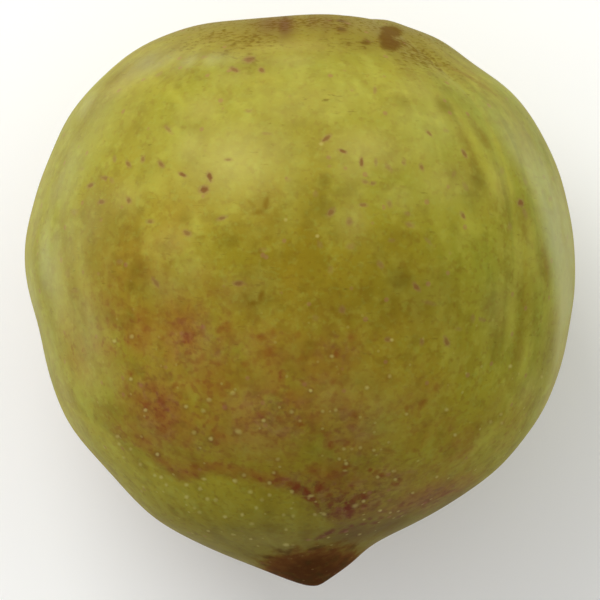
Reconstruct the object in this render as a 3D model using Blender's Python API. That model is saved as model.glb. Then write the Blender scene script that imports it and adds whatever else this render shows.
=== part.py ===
"""A whole plumcot: a heart-shaped fruit with a stem cavity, a shallow suture and a pointed blossom end.

The fruit lies on its cheek on a small flat spot at the origin. +Z is up, +Y points to the stem end and -Y to
the pointed blossom end. Sizes below are in millimetres, and MM turns them to the scene's metres.

The skin is a stack of oval sections from the stem scar to the tip. Two outlines, one for each side of the
fruit seen from above, give every section its width, its centre and its tilt; the depth is a share of the width.
"""

import math

import bmesh
import bpy
import numpy as np
from mathutils import Vector

MM = 0.001

# Overall form. Heights run along the core from the tip (0) to the crest round the stem cavity (about 60).
DEPTH_SHARE = 0.955          # depth of a section as a share of its width
MASS_HEIGHT = 32.0           # height of the centre of mass, which sits over the origin
CORE_OFFSET = 1.4            # how far the stem and the tip lie to +X of the centre of mass
CHEEK_SAG = 2.0              # how far the underside's fullest part lies nearer the tip than the upper side's
REST_SPOT_DEPTH = 0.32       # how much of the lowest cheek is flattened where the fruit lies

# The crest round the stem cavity is a saddle: higher over the upper and lower cheeks than at the two sides.
CREST_RISE = 0.63
CREST_PLACE = 0.17
CREST_HALF_LENGTH = 0.09

# The stem cavity, as (radius, height) from the scar's centre to the inside of the rim. It is round.
STEM_CAVITY = [(0.0, 55.2), (1.6, 55.15), (3.3, 55.9), (5.3, 57.9)]

# The fuller side, towards -X, from the rim's crest over the shoulder and down to the tip.
FULL_SIDE = [
    (7.7, 58.88), (11.4, 58.94), (15.4, 57.8), (19.4, 55.78), (23.4, 52.3), (26.2, 48.4), (28.3, 43.7),
    (29.8, 38.6), (30.3, 33.2), (29.0, 27.5), (27.6, 21.8), (25.05, 16.3), (21.1, 11.5), (17.0, 7.3),
    (12.3, 4.6), (8.0, 2.75), (4.35, 1.25), (1.85, 0.35),
]

# The slimmer side, towards +X, with a flatter shoulder and a hollow above the tip.
SLIM_SIDE = [
    (7.0, 59.4), (9.9, 58.68), (13.3, 57.2), (16.7, 54.75), (20.3, 52.2), (23.2, 48.7), (25.3, 44.5),
    (26.7, 39.6), (27.4, 34.0), (27.05, 28.6), (25.8, 23.0), (23.3, 17.4), (19.6, 12.7), (14.6, 8.85),
    (9.65, 6.2), (6.15, 4.25), (4.0, 2.45), (1.65, 0.79),
]

TIP = [(0.0, 0.0)]

# The suture, a shallow crease from the cavity to the tip on the upper slim side, in a wider dip.
SUTURE_ANGLE = math.radians(37)
CREASE_DEPTH = 0.22
CREASE_HALF_WIDTH = 1.6
CREASE_POWER = 1.6           # below 2, the crease is keener than a bell
DIP_DEPTH = 0.4
DIP_HALF_WIDTH = 5.5
DEEPEST_PLACE = 0.34         # over the shoulder, where the crease is deepest
DEEP_LENGTH = 0.16
SHALLOW_SHARE = 0.35         # what is left of the depth over the cheek and towards the tip
SUTURE_START = 0.14          # places where it fades out, on the crest and short of the tip
SUTURE_END = 0.97
FADE_LENGTH = 0.14

# Facets of the solid.
SEGMENTS_AROUND = 72
RINGS_ALONG = 54

SKIN_COLOUR = (0.27, 0.21, 0.03, 1.0)
SKIN_ROUGHNESS = 0.42


def smooth_through(values, mirror):
    """A curve of continuous curvature through values at t = 0, 1, 2...; mirror is 1 where the curve comes back
    from each end as it came, as a height does over a pole, and -1 where it goes on past zero, as a radius does."""
    count = len(values)
    padded = np.concatenate([mirror * values[:0:-1], values, mirror * values[-2::-1]])
    total = len(padded)
    system = np.eye(total) * 4 + np.eye(total, k=1) + np.eye(total, k=-1)
    change = np.zeros(total)
    change[1:-1] = 6 * (padded[2:] - 2 * padded[1:-1] + padded[:-2])
    bend = np.linalg.solve(system, change)[count - 1:2 * count - 1]

    def at(t):
        start = np.clip(np.floor(t).astype(int), 0, count - 2)
        near = t - start
        far = 1 - near
        straight = far * values[start] + near * values[start + 1]
        return straight + ((far**3 - far) * bend[start] + (near**3 - near) * bend[start + 1]) / 6

    return at


def outline(side):
    """(radius, height) of one side's whole outline, as functions of a place from 0, the scar, to 1, the tip."""
    points = np.array(STEM_CAVITY + side + TIP)
    radius = smooth_through(points[:, 0], -1)
    height = smooth_through(points[:, 1], 1)
    last = len(points) - 1
    return lambda place: (radius(place * last), height(place * last))


def suture_sink(place, angle, radius):
    """How far the skin sinks at the suture: a narrow crease in a wider dip, deepest at the shoulder."""
    turn = angle - SUTURE_ANGLE
    across = 2 * radius * np.sin(turn / 2)
    along = SHALLOW_SHARE + (1 - SHALLOW_SHARE) * np.exp(-(((place - DEEPEST_PLACE) / DEEP_LENGTH) ** 2))
    from_start = np.clip((place - SUTURE_START) / FADE_LENGTH, 0, 1)
    to_end = np.clip((SUTURE_END - place) / FADE_LENGTH, 0, 1)
    crease = CREASE_DEPTH * np.exp(-(np.abs(across / CREASE_HALF_WIDTH) ** CREASE_POWER))
    dip = DIP_DEPTH * np.exp(-((across / DIP_HALF_WIDTH) ** 2))
    return np.where(np.cos(turn) > 0, along * from_start * to_end * (crease + dip), 0.0)


def skin_points(place, angle):
    """Points of the skin in millimetres. place runs from 0, the stem scar, to 1, the tip; angle runs round the
    core from +X towards +Z. A section is an oval between the two outlines, tilted as they are, its underside
    sags towards the tip, and the crest rises over the cheeks. The suture sinks towards the fruit's middle."""
    slim_radius, slim_height = outline(SLIM_SIDE)(place)
    full_radius, full_height = outline(FULL_SIDE)(place)
    half_width = (slim_radius + full_radius) / 2
    centre = (slim_radius - full_radius) / 2
    level = (slim_height + full_height) / 2
    tilt = (slim_height - full_height) / 2
    sag = CHEEK_SAG * np.sin(np.pi * place) ** 2 * np.minimum(np.sin(angle), 0) ** 2
    crest = CREST_RISE * np.sin(angle) ** 2 * np.exp(-(((place - CREST_PLACE) / CREST_HALF_LENGTH) ** 2))
    x = CORE_OFFSET + centre + half_width * np.cos(angle)
    y = level + tilt * np.cos(angle) + crest - sag - MASS_HEIGHT
    z = DEPTH_SHARE * half_width * np.sin(angle)
    points = np.stack([x, y, z], axis=1)
    from_middle = np.linalg.norm(points, axis=1)
    share_left = 1 - suture_sink(place, angle, half_width) / from_middle
    return points * share_left[:, None]


def fruit_material():
    """Smooth waxy fruit skin, yellow-green going to olive."""
    material = bpy.data.materials.new("plumcot_skin")
    material.use_nodes = True
    shader = material.node_tree.nodes["Principled BSDF"]
    shader.inputs["Base Color"].default_value = SKIN_COLOUR
    shader.inputs["Roughness"].default_value = SKIN_ROUGHNESS
    shader.inputs["Metallic"].default_value = 0.0
    return material


def make_fruit():
    """A ball with its poles at the scar and the tip, each of its points moved to the fruit's skin, and the
    lowest cheek cut flat."""
    ball = bmesh.new()
    bmesh.ops.create_uvsphere(ball, u_segments=SEGMENTS_AROUND, v_segments=RINGS_ALONG, radius=1.0)
    on_ball = np.array([vertex.co for vertex in ball.verts])
    place = np.arccos(np.clip(on_ball[:, 2], -1, 1)) / math.pi
    # The ball's Z becomes the core, so its Y goes to the fruit's -Z for the faces to stay outwards.
    angle = np.arctan2(-on_ball[:, 1], on_ball[:, 0])
    points = skin_points(place, angle)
    floor = points[:, 2].min() + REST_SPOT_DEPTH
    points[:, 2] -= floor
    for vertex, point in zip(ball.verts, points * MM):
        vertex.co = Vector(point)

    every_part = ball.verts[:] + ball.edges[:] + ball.faces[:]
    cut = bmesh.ops.bisect_plane(
        ball, geom=every_part, dist=1e-7, plane_co=(0, 0, 0), plane_no=(0, 0, -1), clear_outer=True
    )
    rim = [part for part in cut["geom_cut"] if isinstance(part, bmesh.types.BMEdge)]
    bmesh.ops.edgeloop_fill(ball, edges=rim)
    bmesh.ops.recalc_face_normals(ball, faces=ball.faces[:])

    mesh = bpy.data.meshes.new("plumcot")
    ball.to_mesh(mesh)
    ball.free()
    mesh.shade_smooth()
    mesh.materials.append(fruit_material())
    return bpy.data.objects.new("plumcot", mesh)


def main():
    for left_over in list(bpy.data.objects):
        bpy.data.objects.remove(left_over)
    collection = bpy.data.collections.new("plumcot")
    bpy.context.scene.collection.children.link(collection)
    collection.objects.link(make_fruit())


main()
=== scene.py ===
"""A plumcot lying on its cheek on a pale studio floor, seen from straight above.

The fruit is one piece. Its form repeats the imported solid's outlines on a far finer grid, and its skin carries
the marks of the real one: a yellow-green ground, a red blush, flecks, pores, russet and a dark tip.
Sizes are in millimetres, and MM turns them to the scene's metres. A pixel is one of the photograph's.
"""

import math

import bpy
import numpy as np
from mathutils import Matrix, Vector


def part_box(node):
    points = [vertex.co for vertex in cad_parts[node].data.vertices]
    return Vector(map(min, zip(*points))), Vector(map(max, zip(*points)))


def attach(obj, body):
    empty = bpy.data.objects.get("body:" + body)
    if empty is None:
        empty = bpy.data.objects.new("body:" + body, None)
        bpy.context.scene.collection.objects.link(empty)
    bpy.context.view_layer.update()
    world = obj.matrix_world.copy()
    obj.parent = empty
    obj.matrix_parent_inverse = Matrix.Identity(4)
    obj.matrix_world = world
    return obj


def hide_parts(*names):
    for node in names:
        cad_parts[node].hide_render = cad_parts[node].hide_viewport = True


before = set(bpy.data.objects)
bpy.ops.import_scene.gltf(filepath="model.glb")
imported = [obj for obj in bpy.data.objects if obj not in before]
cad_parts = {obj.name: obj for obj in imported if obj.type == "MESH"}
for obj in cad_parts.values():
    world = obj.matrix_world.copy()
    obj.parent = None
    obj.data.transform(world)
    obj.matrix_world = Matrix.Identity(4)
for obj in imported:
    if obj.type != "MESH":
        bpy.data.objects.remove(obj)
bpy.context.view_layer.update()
MM = 0.001

# The photograph's view. The camera stands straight above the fruit as it lies, with the stem end at the top
# of the picture, and far enough away that the near cheek hardly grows.
PICTURE_PIXELS = 600
PIXEL = 0.10489                # a pixel's width at the height of the widest outline
OUTLINE_HEIGHT = 27.6          # of the widest outline over the floor
PICTURE_MIDDLE = (-0.07, -1.99)
CAMERA_RISE = 1000.0           # of the camera over the widest outline
SENSOR_WIDTH = 36.0

camera_data = bpy.data.cameras.new("photo_camera")
camera_data.sensor_width = SENSOR_WIDTH
camera_data.lens = SENSOR_WIDTH * CAMERA_RISE / (PICTURE_PIXELS * PIXEL)
camera = bpy.data.objects.new("photo_camera", camera_data)
camera_place = np.array([PICTURE_MIDDLE[0], PICTURE_MIDDLE[1], OUTLINE_HEIGHT + CAMERA_RISE])
camera.location = camera_place * MM
bpy.context.scene.collection.objects.link(camera)
bpy.context.scene.camera = camera


# The fruit. A ripe plumcot is one body of flesh round a stone, in a thin waxy skin that grew with it. It is
# heart shaped, with a round hollow where the stem came off, a shallow suture and a drawn-out dark tip.

# Form, as (radius, height) along the skin. Heights run from the tip, 0, to the crest round the stem hollow.
STEM_HOLLOW = [(0.0, 55.2), (1.6, 55.15), (3.3, 55.9), (5.3, 57.9)]
FULL_SIDE = [
    (7.7, 58.88), (11.4, 58.94), (15.4, 57.8), (19.4, 55.78), (23.4, 52.3), (26.2, 48.4), (28.3, 43.7),
    (29.8, 38.6), (30.3, 33.2), (29.0, 27.5), (27.6, 21.8), (25.05, 16.3), (21.1, 11.5), (17.0, 7.3),
    (12.3, 4.6), (8.0, 2.75), (4.35, 1.25), (1.85, 0.35),
]
SLIM_SIDE = [
    (7.0, 59.4), (9.9, 58.68), (13.3, 57.2), (16.7, 54.75), (20.3, 52.2), (23.2, 48.7), (25.3, 44.5),
    (26.7, 39.6), (27.4, 34.0), (27.05, 28.6), (25.8, 23.0), (23.3, 17.4), (19.6, 12.7), (14.6, 8.85),
    (9.65, 6.2), (6.15, 4.25), (4.0, 2.45), (1.65, 0.79),
]
TIP = [(0.0, 0.0)]
DEPTH_SHARE = 0.955            # depth of a section as a share of its width
MASS_HEIGHT = 32.0             # height of the centre of mass, which lies over the origin
CORE_OFFSET = 1.4              # of the stem and the tip towards +X
CHEEK_SAG = 2.0                # of the underside towards the tip
REST_SPOT_DEPTH = 0.32         # how much of the lowest cheek is flat where the fruit lies

# The crest is a saddle, higher over the upper and lower cheeks than at the two sides.
CREST_RISE = 0.63
CREST_PLACE = 0.17
CREST_HALF_LENGTH = 0.09

# The suture is a narrow crease in a wider dip, deepest over the shoulder.
SUTURE_ANGLE = math.radians(37)
CREASE_DEPTH = 0.22
CREASE_HALF_WIDTH = 1.6
CREASE_POWER = 1.6             # below 2, the crease is keener than a bell
DIP_DEPTH = 0.4
DIP_HALF_WIDTH = 5.5
DEEPEST_PLACE = 0.34
DEEP_LENGTH = 0.16
SHALLOW_SHARE = 0.35
SUTURE_START = 0.14
SUTURE_END = 0.97
FADE_LENGTH = 0.14

AROUND = 400                   # columns of the grid, round the core
ALONG = 240                    # rows of the grid, from the scar to the tip
FINE_STEPS = 4000              # of the run that the rows are spaced by


def smooth_through(values, mirror):
    """A curve of continuous curvature through values at t = 0, 1, 2...: between two values it is the straight
    line plus a cubic from the bend at each. mirror is 1 where the curve comes back from each end as it came,
    as a height does over a pole, and -1 where it goes on past zero, as a radius does."""
    count = len(values)
    padded = np.concatenate([mirror * values[:0:-1], values, mirror * values[-2::-1]])
    total = len(padded)
    system = np.eye(total) * 4 + np.eye(total, k=1) + np.eye(total, k=-1)
    change = np.zeros(total)
    change[1:-1] = 6 * (padded[2:] - 2 * padded[1:-1] + padded[:-2])
    bend = np.linalg.solve(system, change)[count - 1:2 * count - 1]

    def at(t):
        start = np.clip(np.floor(t).astype(int), 0, count - 2)
        near = t - start
        far = 1 - near
        straight = far * values[start] + near * values[start + 1]
        return straight + ((far**3 - far) * bend[start] + (near**3 - near) * bend[start + 1]) / 6

    return at


def outline(side):
    """(radius, height) of one side's whole outline, as a function of a place from 0, the scar, to 1, the
    tip."""
    points = np.array(STEM_HOLLOW + side + TIP)
    radius = smooth_through(points[:, 0], -1)
    height = smooth_through(points[:, 1], 1)
    last = len(points) - 1
    return lambda place: (radius(place * last), height(place * last))


slim_outline = outline(SLIM_SIDE)
full_outline = outline(FULL_SIDE)


def suture_sink(place, angle, radius):
    """How far the skin sinks at the suture: a narrow bell in a wider bell across it, times its depth along
    it, which fades out on the crest and short of the tip."""
    turn = angle - SUTURE_ANGLE
    across = 2 * radius * np.sin(turn / 2)
    along = SHALLOW_SHARE + (1 - SHALLOW_SHARE) * np.exp(-(((place - DEEPEST_PLACE) / DEEP_LENGTH) ** 2))
    from_start = np.clip((place - SUTURE_START) / FADE_LENGTH, 0, 1)
    to_end = np.clip((SUTURE_END - place) / FADE_LENGTH, 0, 1)
    crease = CREASE_DEPTH * np.exp(-(np.abs(across / CREASE_HALF_WIDTH) ** CREASE_POWER))
    dip = DIP_DEPTH * np.exp(-((across / DIP_HALF_WIDTH) ** 2))
    return np.where(np.cos(turn) > 0, along * from_start * to_end * (crease + dip), 0.0)


def skin_points(place, angle):
    """Points of the skin, for arrays of places and of angles round the core from +X towards +Z. A section is
    an oval between the two outlines, tilted as they are, its underside sags towards the tip, and the crest
    rises over the cheeks. The suture sinks towards the fruit's middle."""
    slim_radius, slim_height = slim_outline(place)
    full_radius, full_height = full_outline(place)
    half_width = (slim_radius + full_radius) / 2
    centre = (slim_radius - full_radius) / 2
    level = (slim_height + full_height) / 2
    tilt = (slim_height - full_height) / 2
    sag = CHEEK_SAG * np.sin(np.pi * place) ** 2 * np.minimum(np.sin(angle), 0) ** 2
    crest = CREST_RISE * np.sin(angle) ** 2 * np.exp(-(((place - CREST_PLACE) / CREST_HALF_LENGTH) ** 2))
    x = CORE_OFFSET + centre + half_width * np.cos(angle)
    y = level + tilt * np.cos(angle) + crest - sag - MASS_HEIGHT
    z = DEPTH_SHARE * half_width * np.sin(angle)
    points = np.stack([x, y, z], axis=-1)
    from_middle = np.linalg.norm(points, axis=-1)
    share_left = 1 - suture_sink(place, angle, half_width) / from_middle
    return points * share_left[..., None]


def even_places(count):
    """Places from the scar to the tip at equal steps of skin: the mean outline's length, added up over a fine
    run of places, is cut into equal parts."""
    fine = np.linspace(0, 1, FINE_STEPS + 1)
    radius = (slim_outline(fine)[0] + full_outline(fine)[0]) / 2
    height = (slim_outline(fine)[1] + full_outline(fine)[1]) / 2
    steps = np.hypot(np.diff(radius), np.diff(height))
    run = np.concatenate([[0.0], np.cumsum(steps)])
    return np.interp(np.linspace(0, run[-1], count), run, fine)


def outward(grid):
    """The skin's outward direction at each point of the grid: the cross of its steps round and along."""
    round_step = np.roll(grid, -1, axis=1) - np.roll(grid, 1, axis=1)
    along_step = np.gradient(grid, axis=0)
    normal = np.cross(round_step, along_step)
    length = np.linalg.norm(normal, axis=-1, keepdims=True)
    normal = normal / np.maximum(length, 1e-9)
    normal[0] = (0, 1, 0)
    normal[-1] = (0, -1, 0)
    return normal


place = even_places(ALONG + 1)[:, None] * np.ones(AROUND)
angle = np.arange(AROUND) * 2 * np.pi / AROUND * np.ones((ALONG + 1, 1))
grid = skin_points(place, angle)
from_scar = np.zeros(place.shape)
from_scar[1:] = np.cumsum(np.linalg.norm(np.diff(grid, axis=0), axis=-1), axis=0)
from_tip = from_scar[-1] - from_scar

# Low relief, in mm: the flesh's own shallow waves, folds drawn into the stem hollow, and the scar's raised
# rim.
WAVES = [                      # (direction, wavelength, height)
    ((0.8, 0.3, 0.5), 21.0, 0.05), ((-0.4, 0.9, 0.2), 16.0, 0.045), ((0.2, -0.5, 0.85), 13.0, 0.04),
    ((0.6, 0.7, -0.4), 9.5, 0.03), ((-0.7, 0.2, 0.7), 7.5, 0.02), ((0.1, 0.95, 0.3), 6.0, 0.015),
]
FOLDS = [(9, 0.10, 0.4), (14, 0.08, 2.1), (23, 0.05, 4.0)]     # (number round, height, turn)
FOLDS_FROM_SCAR = 5.0
FOLDS_HALF_LENGTH = 2.6
SCAR_RADIUS = 2.0
SCAR_RIM_HALF_WIDTH = 0.35
SCAR_RIM_HEIGHT = 0.16
RELIEF_FADE = 0.8              # from the scar's middle and from the tip, where the relief starts

relief = np.zeros(place.shape)
for direction, wavelength, height in WAVES:
    unit = np.array(direction) / np.linalg.norm(direction)
    relief += height * np.sin(grid @ unit * 2 * np.pi / wavelength + wavelength)
fold_share = np.exp(-(((from_scar - FOLDS_FROM_SCAR) / FOLDS_HALF_LENGTH) ** 2))
for number, height, turn in FOLDS:
    relief += fold_share * height * np.sin(number * angle + turn)
relief += SCAR_RIM_HEIGHT * np.exp(-(((from_scar - SCAR_RADIUS) / SCAR_RIM_HALF_WIDTH) ** 2))
relief *= np.clip(from_scar / RELIEF_FADE, 0, 1) * np.clip(from_tip / RELIEF_FADE, 0, 1)
grid = grid + outward(grid) * relief[..., None]

# The lowest cheek is flat where the fruit lies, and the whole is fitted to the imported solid's box.
grid[..., 2] -= grid[..., 2].min() + REST_SPOT_DEPTH
grid[..., 2] = np.maximum(grid[..., 2], 0)
box_low, box_high = (np.array(corner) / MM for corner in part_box("plumcot"))
grid_low = grid.min(axis=(0, 1))
grid_high = grid.max(axis=(0, 1))
grid = box_low + (grid - grid_low) * (box_high - box_low) / (grid_high - grid_low)
normal = outward(grid)


def as_vertices(values):
    """A grid's values in the mesh's order: the scar's one point, each row between the poles, and the tip's
    point."""
    inner = values[1:-1].reshape(-1, *values.shape[2:])
    return np.concatenate([values[0, :1], inner, values[-1, :1]])


number = 1 + np.arange((ALONG - 1) * AROUND).reshape(ALONG - 1, AROUND)
beside = np.roll(number, -1, axis=1)
tip_number = number.size + 1
scar_fan = np.stack([np.zeros(AROUND, int), beside[0], number[0]], axis=-1)
quads = np.stack([number[:-1], beside[:-1], beside[1:], number[1:]], axis=-1).reshape(-1, 4)
tip_fan = np.stack([number[-1], beside[-1], np.full(AROUND, tip_number)], axis=-1)
mesh = bpy.data.meshes.new("plumcot_fruit")
mesh.from_pydata((as_vertices(grid) * MM).tolist(), [], scar_fan.tolist() + quads.tolist() + tip_fan.tolist())
mesh.shade_smooth()


def keep(name, values):
    """Stores a number or a vector for each point of the skin, for the material to read by name."""
    kind = "FLOAT_VECTOR" if values.ndim == 3 else "FLOAT"
    field = "vector" if values.ndim == 3 else "value"
    stored = mesh.attributes.new(name, kind, "POINT")
    stored.data.foreach_set(field, as_vertices(values).astype(np.float32).ravel())


RAY_REACH = 0.4                # how near the camera's ray a point of the grid is on it


def skin_at(pixel_x, pixel_y):
    """(point, outward direction) of the skin that a pixel shows: the highest of the grid's points on the
    camera's ray that face up, and then the ray's meeting with the plane through it."""
    on_outline = np.array([
        PICTURE_MIDDLE[0] + (pixel_x - PICTURE_PIXELS / 2) * PIXEL,
        PICTURE_MIDDLE[1] - (pixel_y - PICTURE_PIXELS / 2) * PIXEL,
        OUTLINE_HEIGHT,
    ])
    ray = on_outline - camera_place
    ray = ray / np.linalg.norm(ray)
    offset = grid - camera_place
    from_ray = np.linalg.norm(offset - (offset @ ray)[..., None] * ray, axis=-1)
    from_ray = np.where(normal[..., 2] > 0, from_ray, 1e3)
    height_on_ray = np.where(from_ray < from_ray.min() + RAY_REACH, grid[..., 2], -1.0)
    first_met = np.unravel_index(height_on_ray.argmax(), height_on_ray.shape)
    way = normal[first_met]
    reach = ((grid[first_met] - camera_place) @ way) / (ray @ way)
    return camera_place + ray * reach, way


def soft_ovals(ovals, half_depth=None):
    """A number over the skin from soft ovals, each given as (pixel x, pixel y, half width, half height,
    strength): the most that any of them gives, each being a bell over its distance in half sizes. Their half
    depth is the mean of the two unless it is given."""
    most = np.zeros(place.shape)
    for pixel_x, pixel_y, half_width, half_height, strength in ovals:
        middle, way = skin_at(pixel_x, pixel_y)
        deep = half_depth or (half_width + half_height) / 2
        away = (grid - middle) / np.array([half_width, half_height, deep])
        most = np.maximum(most, strength * np.exp(-(away ** 2).sum(axis=-1)))
    return most


def soft_patches(patches):
    """A number over the skin from patches that the photograph doesn't show, each given as (place, angle in
    degrees, radius, strength): the most that any of them gives, each being a bell over its distance."""
    most = np.zeros(place.shape)
    for patch_place, degrees, radius, strength in patches:
        row = np.abs(place[:, 0] - patch_place).argmin()
        column = round(degrees / 360 * AROUND) % AROUND
        away = np.linalg.norm(grid - grid[row, column], axis=-1) / radius
        most = np.maximum(most, strength * np.exp(-(away ** 2)))
    return most


corner_point = np.empty(len(mesh.loops), np.int32)
mesh.loops.foreach_get("vertex_index", corner_point)
corner_count = np.empty(len(mesh.polygons), np.int32)
mesh.polygons.foreach_get("loop_total", corner_count)
first_corner = np.concatenate([[0], np.cumsum(corner_count)[:-1]])
corners = as_vertices(grid)[corner_point]
face_middles = np.add.reduceat(corners, first_corner) / corner_count[:, None]
face_of_corner = np.repeat(np.arange(len(corner_count)), corner_count)

STEEPEST_SEEN = 0.55           # a spot's sizes are those in the picture, down to this share of its true ones


def keep_spots(name, spots):
    """Stores, for each corner of each face, its place in the spot nearest to the face: (along, across,
    strength), the first two in half sizes, so that a spot keeps its own shape between the grid's points.
    A spot is (pixel x, pixel y, length, width, turn in degrees, strength), its turn being that of its length
    from the picture's right towards its top. On sloping skin, lengths up the slope are shortened as they look
    from above, so that a spot that looks round is drawn out a little down the skin."""
    nearest = np.full(len(face_middles), np.inf)
    found = np.zeros(corners.shape, np.float32)
    for pixel_x, pixel_y, length, width, degrees, strength in spots:
        middle, way = skin_at(pixel_x, pixel_y)
        turn = math.radians(degrees)
        along = np.array([math.cos(turn), math.sin(turn), 0.0])
        across = np.array([-math.sin(turn), math.cos(turn), 0.0])
        slope = math.hypot(way[0], way[1])
        level = np.array([-way[1], way[0], 0.0]) / slope
        uphill = np.array([-way[0], -way[1], 0.0]) / slope
        up_the_skin = uphill * way[2] + np.array([0.0, 0.0, slope])
        away = np.linalg.norm(face_middles - middle, axis=-1)
        closer = away < nearest
        nearest[closer] = away[closer]
        own = closer[face_of_corner]
        offset = corners[own] - middle
        rise = (offset @ up_the_skin) * max(way[2], STEEPEST_SEEN)
        offset = (offset @ level)[:, None] * level + rise[:, None] * uphill
        found[own, 0] = offset @ along / (length / 2)
        found[own, 1] = offset @ across / (width / 2)
        found[own, 2] = strength
    stored = mesh.attributes.new(name, "FLOAT_VECTOR", "CORNER")
    stored.data.foreach_set("vector", found.ravel())


# Dark flecks, small purple-brown scars of the skin over the shoulder and the upper cheek.
FLECKS = [
    (168.5, 129.8, 1.0, 0.4, -45, 0.7), (114.5, 159, 0.6, 0.4, 90, 0.6),
    (128.3, 164.2, 0.7, 0.45, -60, 0.8), (142.7, 159, 0.7, 0.4, 80, 0.75), (161, 164.2, 0.8, 0.5, -50, 0.8),
    (182.3, 174.5, 0.85, 0.4, -25, 0.95), (209.8, 176.8, 0.9, 0.6, -70, 1.0),
    (204.1, 189.5, 0.95, 0.75, 10, 1.0), (228.2, 159.6, 0.75, 0.36, 0, 0.7),
    (104.8, 178, 0.8, 0.45, -15, 0.75), (111.7, 180.3, 0.6, 0.35, -60, 0.5),
    (90.4, 185.4, 0.8, 0.45, 25, 0.85), (101.9, 201.7, 0.8, 0.45, 10, 0.8),
    (128.9, 200.4, 0.65, 0.5, -60, 0.8), (74.4, 211.8, 0.7, 0.45, 0, 0.45),
    (150.1, 221.6, 0.75, 0.45, 0, 0.7), (186.9, 233.1, 0.9, 0.55, -30, 0.8),
    (221.9, 218.2, 0.85, 0.45, 15, 0.8), (119.7, 261.8, 0.65, 0.45, 0, 0.5),
    (155.9, 283, 1.1, 0.5, -50, 0.75), (238.5, 283.6, 1.1, 0.5, 0, 0.85), (81.8, 168.8, 0.5, 0.35, 0, 0.35),
    (67.5, 273.8, 0.7, 0.5, 90, 0.4), (75, 290, 0.6, 0.5, 0, 0.4), (266.7, 133.5, 0.9, 0.3, -5, 0.5),
    (326.4, 138.4, 1.0, 0.5, 35, 0.9), (343.1, 151.2, 0.9, 0.35, -20, 0.95),
    (361.5, 161.9, 1.0, 0.42, 90, 0.9), (375.8, 161.9, 0.7, 0.32, 90, 0.6),
    (389, 167.6, 0.9, 0.4, -50, 0.6), (403.4, 161.9, 0.7, 0.4, -70, 0.65),
    (365.5, 182, 0.75, 0.4, -15, 0.65), (372.4, 183.2, 0.7, 0.4, 0, 0.7), (363.2, 205, 0.8, 0.42, 0, 0.75),
    (389.6, 203.8, 0.75, 0.5, -70, 0.65), (331, 212.4, 0.9, 0.6, 45, 0.8), (315.5, 194, 0.6, 0.45, 90, 0.4),
    (349.4, 221.6, 0.7, 0.6, 90, 0.65), (350.6, 246.3, 0.75, 0.6, 0, 0.5),
    (380.4, 264.7, 0.75, 0.55, -60, 0.65), (320.1, 244.6, 0.7, 0.5, -60, 0.4),
    (330.5, 269.8, 0.7, 0.5, 90, 0.4), (391.9, 240.5, 0.6, 0.4, 0, 0.4), (263.3, 249.7, 0.6, 0.4, 0, 0.35),
    (288.5, 179.7, 0.5, 0.4, 0, 0.35), (429.3, 133.4, 0.8, 0.35, -45, 0.8),
    (445.9, 130.5, 0.6, 0.35, -20, 0.5), (464.3, 153.5, 0.9, 0.4, -60, 0.85),
    (421.8, 167.3, 0.75, 0.42, -70, 0.75), (454, 173.6, 0.6, 0.4, 60, 0.4),
    (465.4, 186.2, 0.8, 0.4, -60, 0.5), (520.6, 202.9, 0.75, 0.6, -60, 0.95),
    (525, 213, 1.0, 0.4, -70, 0.5), (463.1, 215.5, 0.8, 0.4, -60, 0.8), (409.8, 224.7, 0.8, 0.5, -20, 0.65),
    (407.5, 213.8, 0.6, 0.4, -20, 0.45), (428, 241, 0.9, 0.3, -45, 0.4),
    (525.7, 181.6, 0.7, 0.35, -60, 0.5), (502.2, 170.7, 0.6, 0.4, 90, 0.4),
    (510.2, 226.4, 0.7, 0.4, 90, 0.4), (404, 161, 0.6, 0.35, 90, 0.5), (375, 90, 0.75, 0.35, 90, 0.6),
    (249, 59.4, 1.1, 0.65, 10, 0.88), (234.5, 69.5, 1.0, 0.5, -25, 0.85), (261.5, 70, 0.65, 0.5, -40, 0.85),
    (204, 57, 0.7, 0.3, 20, 0.55), (159, 74, 0.7, 0.35, 30, 0.5), (249, 111, 0.7, 0.35, 0, 0.55),
    (342.2, 309.8, 0.7, 0.6, 90, 0.65), (416.6, 287, 0.95, 0.5, -50, 0.85),
    (429.9, 303, 1.2, 0.4, -15, 0.4), (421.8, 342, 0.7, 0.4, 90, 0.65), (446.5, 341.5, 0.95, 0.5, -65, 0.8),
    (458.6, 328.9, 0.6, 0.4, 0, 0.4), (482, 319.7, 0.7, 0.4, -20, 0.55), (472.9, 318, 0.7, 0.45, 90, 0.5),
    (387.5, 339.6, 0.6, 0.5, 0, 0.75), (315.2, 317.8, 0.5, 0.5, 0, 0.35),
]

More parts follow.
